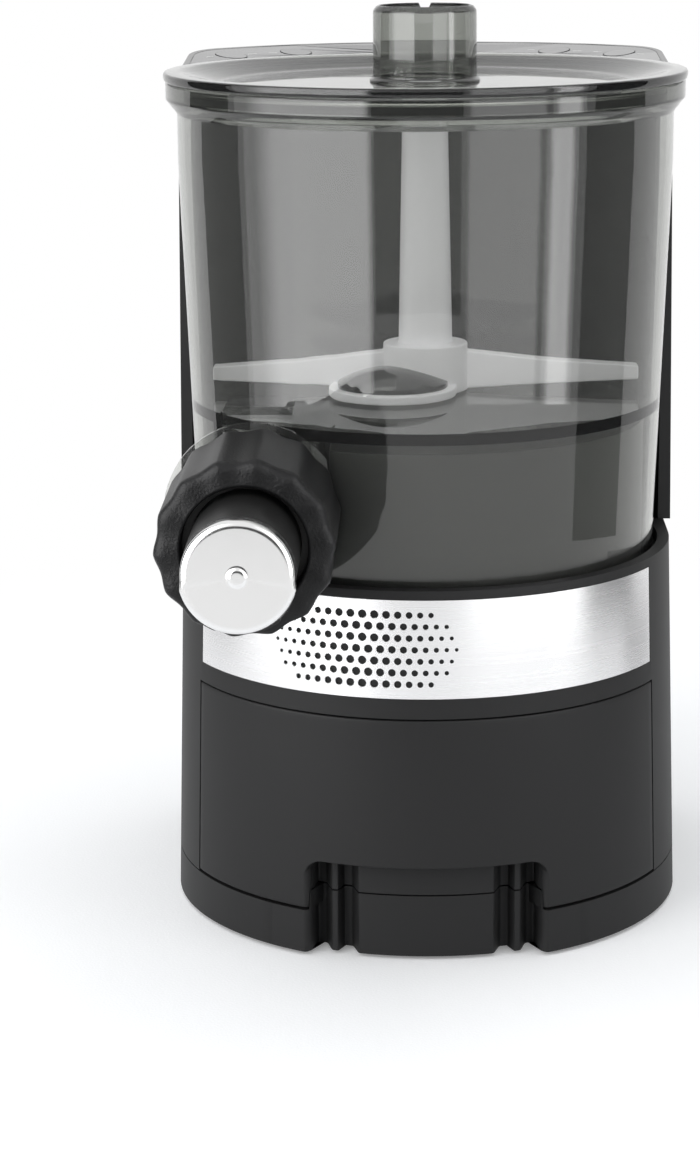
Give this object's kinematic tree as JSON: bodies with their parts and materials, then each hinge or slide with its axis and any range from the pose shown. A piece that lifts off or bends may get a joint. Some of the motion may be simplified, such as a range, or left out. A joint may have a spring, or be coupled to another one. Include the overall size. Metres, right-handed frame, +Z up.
{
  "type": "electric pasta maker",
  "caption": "Countertop pasta maker: motor base with storage drawer, clear mixing bowl with lid and paddle, and a screw extruder with a shaping die.",
  "frame": {"origin": "the middle of the whole machine, at the level the feet stand on", "axes": "+Z up, -Y the front where the extruder points, +X to the viewer's right"},
  "size_m": [0.2072, 0.3344, 0.3627],
  "materials": {
    "body_plastic": "fine spark-eroded grain",
    "tower_plastic": "satin moulded",
    "panel_gloss": "glossy smoked acrylic",
    "band_steel": "satin brushed, drilled with vent holes",
    "clear_smoke": "clear smoky copolyester",
    "milky_plastic": "translucent lilac-white polypropylene",
    "pad_black": "glossy black",
    "die_black": "satin moulded",
    "nut_black": "matt textured",
    "polished_steel": "polished rim, satin face",
    "shaft_steel": "turned steel",
    "zinc_plate": "zinc-plated sheet",
    "fastener_steel": "zinc-plated",
    "bush_bronze": "sintered bronze",
    "pinion_brass": "cut brass",
    "gear_acetal": "moulded acetal",
    "motor_steel": "drawn can",
    "motor_black": "glass-filled nylon",
    "board_green": "fibreglass board",
    "wire_pvc": "PVC sleeved wire",
    "seal_rubber": "moulded silicone",
    "magnet_nickel": "nickel plated",
    "button_plastic": "glossy moulded"
  },
  "bodies": {
    "housing": {"base_tray": "body_plastic", "rubber_feet": "seal_rubber", "lower_housing": "body_plastic", "drive_tower": "tower_plastic", "trim_band": "band_steel", "column_front": "body_plastic", "rear_cover": "body_plastic", "top_cap": "body_plastic", "control_panel": "panel_gloss", "control_board": "board_green", "gear_plate_front": "zinc_plate", "gear_plate_middle": "zinc_plate", "motor_plate": "zinc_plate", "frame_bolts": "fastener_steel", "shaft_bushes": "bush_bronze", "shaft_bracket": "zinc_plate", "motor_can": "motor_steel", "motor_end_bell": "motor_black", "drawer_runners": "tower_plastic", "power_board": "board_green", "wiring_loom": "wire_pvc", "cord_gland": "seal_rubber", "reed_sensor": "board_green", "housing_screws": "fastener_steel"},
    "motor_rotor": {"motor_shaft": "shaft_steel", "motor_pinion": "pinion_brass", "cooling_fan": "motor_black"},
    "reduction_cluster": {"counter_shaft": "shaft_steel", "reduction_gear": "gear_acetal"},
    "main_drive": {"main_shaft": "shaft_steel", "main_gear": "gear_acetal", "transfer_gear": "gear_acetal", "crown_pinion": "gear_acetal"},
    "idler": {"idler_gear": "gear_acetal"},
    "auger_drive": {"auger_gear": "gear_acetal", "auger_drive_shaft": "shaft_steel"},
    "paddle_drive": {"crown_gear": "gear_acetal", "paddle_drive_shaft": "shaft_steel"},
    "bowl": {"mixing_bowl": "clear_smoke", "spindle_seals": "seal_rubber"},
    "lid": {"lid": "clear_smoke", "water_inlet": "clear_smoke", "lid_gasket": "seal_rubber", "lid_magnet": "magnet_nickel"},
    "paddle_coupling": {"paddle_spindle": "shaft_steel"},
    "paddle": {"paddle": "milky_plastic", "kneading_pad": "pad_black"},
    "auger_coupling": {"auger_spindle": "shaft_steel"},
    "auger": {"auger": "milky_plastic"},
    "die": {"die_body": "die_black", "die_cap": "polished_steel", "die_plate": "polished_steel"},
    "ring_nut": {"ring_nut": "nut_black"},
    "drawer": {"drawer_front": "body_plastic", "drawer_tray": "tower_plastic"},
    "power_button": {"button_power": "button_plastic"},
    "program_button": {"button_program": "button_plastic"},
    "time_button": {"button_time": "button_plastic"},
    "start_button": {"button_start": "button_plastic"}
  },
  "joints": [
    {"name": "motor_spin", "type": "hinge", "parent": "housing", "child": "motor_rotor", "pos_m": [0.01784, 0.11358, 0.05868], "axis": [0, 1, 0], "continuous": true},
    {"name": "cluster_spin", "type": "hinge", "parent": "housing", "child": "reduction_cluster", "pos_m": [0.03792, 0.07358, 0.08736], "axis": [0, 1, 0], "continuous": true},
    {"name": "main_spin", "type": "hinge", "parent": "housing", "child": "main_drive", "pos_m": [0, 0.06358, 0.11917], "axis": [0, 1, 0], "continuous": true},
    {"name": "idler_spin", "type": "hinge", "parent": "housing", "child": "idler", "pos_m": [-0.03698, 0.05358, 0.15207], "axis": [0, 1, 0], "continuous": true},
    {"name": "auger_drive_spin", "type": "hinge", "parent": "housing", "child": "auger_drive", "pos_m": [-0.065, 0.05358, 0.177], "axis": [0, 1, 0], "continuous": true},
    {"name": "paddle_drive_spin", "type": "hinge", "parent": "housing", "child": "paddle_drive", "pos_m": [0, 0.02358, 0.144], "axis": [0, 0, 1], "continuous": true},
    {"name": "bowl_lift", "type": "slide", "parent": "housing", "child": "bowl", "axis": [0, 0, 1], "range_m": [0, 0.12]},
    {"name": "lid_lift", "type": "slide", "parent": "bowl", "child": "lid", "axis": [0, 0, 1], "range_m": [0, 0.12]},
    {"name": "paddle_coupling_spin", "type": "hinge", "parent": "bowl", "child": "paddle_coupling", "pos_m": [0, 0.02358, 0.208], "axis": [0, 0, 1], "continuous": true},
    {"name": "paddle_lift", "type": "slide", "parent": "paddle_coupling", "child": "paddle", "axis": [0, 0, 1], "range_m": [0, 0.01]},
    {"name": "auger_coupling_spin", "type": "hinge", "parent": "bowl", "child": "auger_coupling", "pos_m": [-0.065, 0.01358, 0.177], "axis": [0, 1, 0], "continuous": true},
    {"name": "auger_draw", "type": "slide", "parent": "auger_coupling", "child": "auger", "axis": [0, -1, 0], "range_m": [0, 0.14]},
    {"name": "die_draw", "type": "slide", "parent": "bowl", "child": "die", "axis": [0, -1, 0], "range_m": [0, 0.14]},
    {"name": "nut_turn", "type": "hinge", "parent": "die", "child": "ring_nut", "pos_m": [-0.065, -0.11142, 0.177], "axis": [0, -1, 0], "range_deg": [0, 360]},
    {"name": "drawer_pull", "type": "slide", "parent": "housing", "child": "drawer", "axis": [0, -1, 0], "range_m": [0, 0.1]},
    {"name": "power_press", "type": "slide", "parent": "housing", "child": "power_button", "axis": [0, 0, -1], "range_m": [0, 0.0008], "stiffness_N_per_m": 700, "springref_m": -0.0005},
    {"name": "program_press", "type": "slide", "parent": "housing", "child": "program_button", "axis": [0, 0, -1], "range_m": [0, 0.0008], "stiffness_N_per_m": 700, "springref_m": -0.0005},
    {"name": "time_press", "type": "slide", "parent": "housing", "child": "time_button", "axis": [0, 0, -1], "range_m": [0, 0.0008], "stiffness_N_per_m": 700, "springref_m": -0.0005},
    {"name": "start_press", "type": "slide", "parent": "housing", "child": "start_button", "axis": [0, 0, -1], "range_m": [0, 0.0008], "stiffness_N_per_m": 700, "springref_m": -0.0005}
  ],
  "couplings": [
    {"joint": "cluster_spin", "follows": "motor_spin", "ratio": -0.16667},
    {"joint": "main_spin", "follows": "motor_spin", "ratio": 0.037037},
    {"joint": "idler_spin", "follows": "motor_spin", "ratio": -0.034858},
    {"joint": "auger_drive_spin", "follows": "motor_spin", "ratio": 0.074074},
    {"joint": "auger_coupling_spin", "follows": "motor_spin", "ratio": 0.074074},
    {"joint": "paddle_drive_spin", "follows": "motor_spin", "ratio": -0.018519},
    {"joint": "paddle_coupling_spin", "follows": "motor_spin", "ratio": -0.018519},
    {"joint": "auger_draw", "follows": "die_draw", "ratio": 1}
  ]
}
